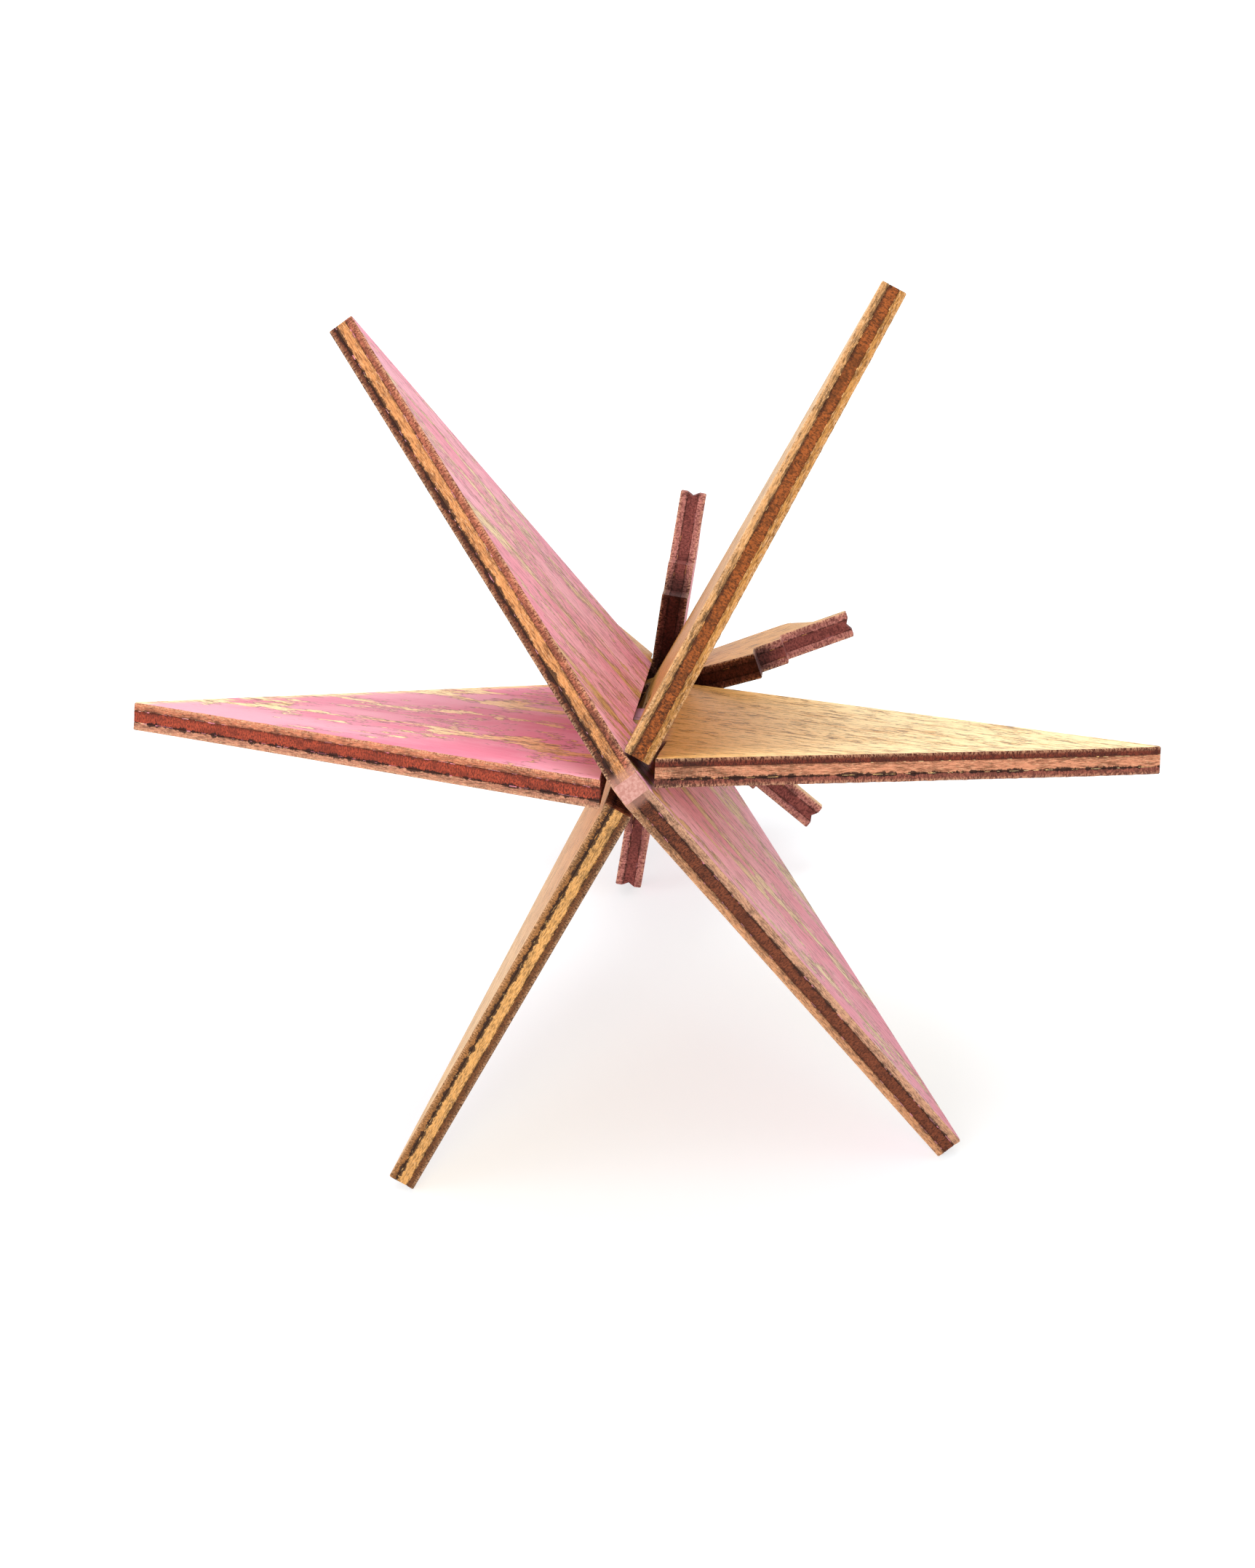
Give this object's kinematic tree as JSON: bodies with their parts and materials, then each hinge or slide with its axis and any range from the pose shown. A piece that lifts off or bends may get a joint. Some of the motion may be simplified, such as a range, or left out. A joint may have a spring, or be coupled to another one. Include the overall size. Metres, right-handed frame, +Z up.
{
  "type": "slotted plate star puzzle",
  "caption": "Take-apart wooden star of crossing square plates on a slotted cradle stand, lying on its side.",
  "frame": {"origin": "centre of the object's box at the level of the table that it lies on", "axes": "+Z up, +Y away from the viewer along the star's axis as seen from above, +X to the viewer's right"},
  "size_m": [0.112, 0.1274, 0.0897],
  "materials": {
    "pink_marble": "painted plywood, satin",
    "rose_paint": "painted plywood, satin",
    "gold_paint": "painted plywood, soft metallic",
    "dusty_red": "painted plywood, satin"
  },
  "bodies": {
    "star_rear": {"star_rear_plate": "gold_paint"},
    "star_middle": {"star_middle_plate": "rose_paint"},
    "star_front": {"star_front_plate": "pink_marble"},
    "stand_front": {"stand_front_plate": "dusty_red"},
    "stand_middle": {"stand_middle_plate": "dusty_red"},
    "stand_rear": {"stand_rear_plate": "dusty_red"}
  },
  "joints": [
    {"name": "star_middle_slide", "type": "slide", "parent": "star_rear", "child": "star_middle", "axis": [0, -0.9287, 0.3707], "range_m": [0, 0.08]},
    {"name": "star_front_slide", "type": "slide", "parent": "star_middle", "child": "star_front", "axis": [0, -0.9287, 0.3707], "range_m": [0, 0.08]},
    {"name": "stand_turn", "type": "hinge", "parent": "star_rear", "child": "stand_front", "pos_m": [0, 0.04215, 0.02345], "axis": [0, 0.9287, -0.3707], "continuous": true},
    {"name": "stand_middle_slide", "type": "slide", "parent": "stand_front", "child": "stand_middle", "axis": [0, 0.9287, -0.3707], "range_m": [0, 0.016]},
    {"name": "stand_rear_slide", "type": "slide", "parent": "stand_middle", "child": "stand_rear", "axis": [0, 0.9287, -0.3707], "range_m": [0, 0.016]}
  ]
}
